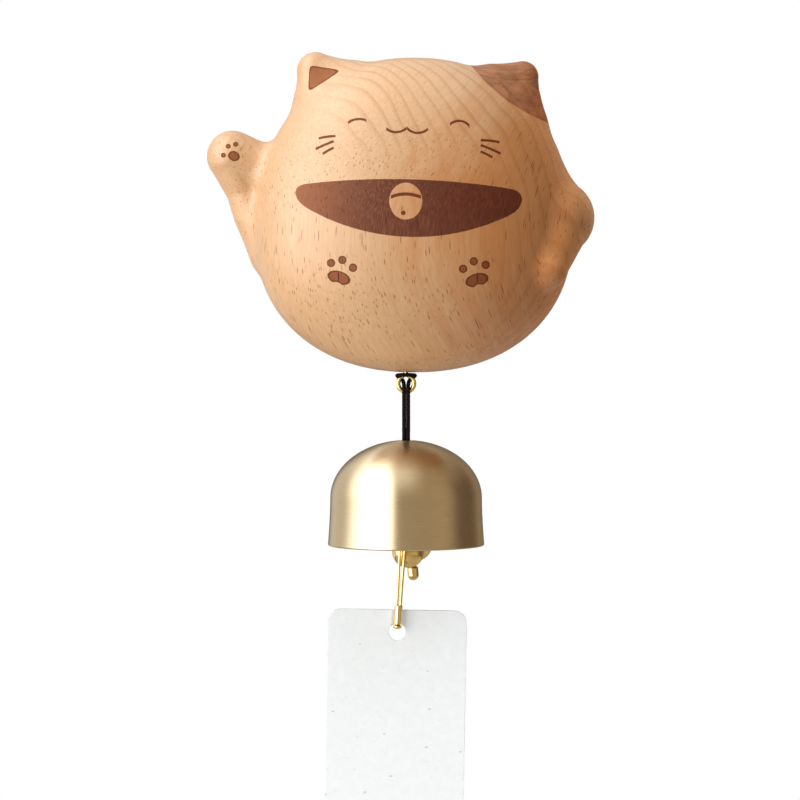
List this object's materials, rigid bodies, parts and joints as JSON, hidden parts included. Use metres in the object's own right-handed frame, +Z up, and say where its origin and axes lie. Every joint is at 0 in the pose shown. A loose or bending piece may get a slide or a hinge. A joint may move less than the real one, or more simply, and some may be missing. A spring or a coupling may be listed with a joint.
{
  "type": "lucky cat door chime",
  "caption": "Wooden lucky cat for a door, with a brass bell, ball clappers and a blank hanging card on a wire hook.",
  "frame": {"origin": "centre of the flat back face, in the plane of the door, on the line of the cord", "axes": "+Z up, -Y out from the door towards the viewer, +X to the viewer's right"},
  "size_m": [0.095, 0.044, 0.2468],
  "materials": {
    "beech": "oiled satin beech, with darker engraved marks",
    "felt": "matte pressed felt",
    "magnet": "nickel plated",
    "bright_brass": "polished",
    "satin_brass": "satin brushed round the axis",
    "cord": "waxed cotton, matte",
    "card": "matte card with faint flecks"
  },
  "bodies": {
    "cat": {"cat_body": "beech", "back_pad": "felt", "magnet_left": "magnet", "magnet_right": "magnet", "screw_eye": "bright_brass", "cord_hitch": "cord"},
    "cord_top": {"cord_upper": "cord"},
    "cord_low": {"cord_lower": "cord", "crown_knot": "cord", "clapper_loop": "cord"},
    "bell": {"bell_dome": "satin_brass"},
    "hanger": {"clapper_hanger": "bright_brass"},
    "front_clapper": {"clapper_pin_front": "bright_brass", "clapper_ball_front": "bright_brass"},
    "rear_clapper": {"clapper_pin_rear": "bright_brass", "clapper_ball_rear": "bright_brass"},
    "drop": {"brass_drop": "bright_brass"},
    "hook": {"tag_hook": "bright_brass", "hook_ferrule": "bright_brass"},
    "tag": {"card_tag": "card"}
  },
  "joints": [
    {"name": "cord_swing", "type": "hinge", "parent": "cat", "child": "cord_top", "pos_m": [0, -0.02335, -0.04231], "axis": [1, 0, 0], "range_deg": [-40, 6]},
    {"name": "cord_sway", "type": "hinge", "parent": "cord_top", "child": "cord_low", "pos_m": [0, -0.02335, -0.04732], "axis": [0, 1, 0], "range_deg": [-25, 25]},
    {"name": "bell_tilt", "type": "hinge", "parent": "cord_low", "child": "bell", "pos_m": [0, -0.02335, -0.05446], "axis": [1, 0, 0], "range_deg": [-7, 7]},
    {"name": "clapper_swing", "type": "hinge", "parent": "cord_low", "child": "hanger", "pos_m": [0, -0.02335, -0.05966], "axis": [1, 0, 0], "range_deg": [-28, 9]},
    {"name": "front_ball_swing", "type": "hinge", "parent": "hanger", "child": "front_clapper", "pos_m": [0, -0.02275, -0.06546], "axis": [0, 1, 0], "range_deg": [-45, 45]},
    {"name": "rear_ball_swing", "type": "hinge", "parent": "hanger", "child": "rear_clapper", "pos_m": [0, -0.01795, -0.06546], "axis": [0, 1, 0], "range_deg": [-20, 22]},
    {"name": "drop_swing", "type": "hinge", "parent": "hanger", "child": "drop", "pos_m": [0, -0.01955, -0.06546], "axis": [0, 1, 0], "range_deg": [-35, 35]},
    {"name": "hook_swing", "type": "hinge", "parent": "hanger", "child": "hook", "pos_m": [0, -0.02735, -0.06546], "axis": [0, 1, 0], "range_deg": [-30, 28]},
    {"name": "tag_sway", "type": "hinge", "parent": "hook", "child": "tag", "pos_m": [-0.00214, -0.02735, -0.0995], "axis": [0, 1, 0], "range_deg": [-25, 25]}
  ]
}
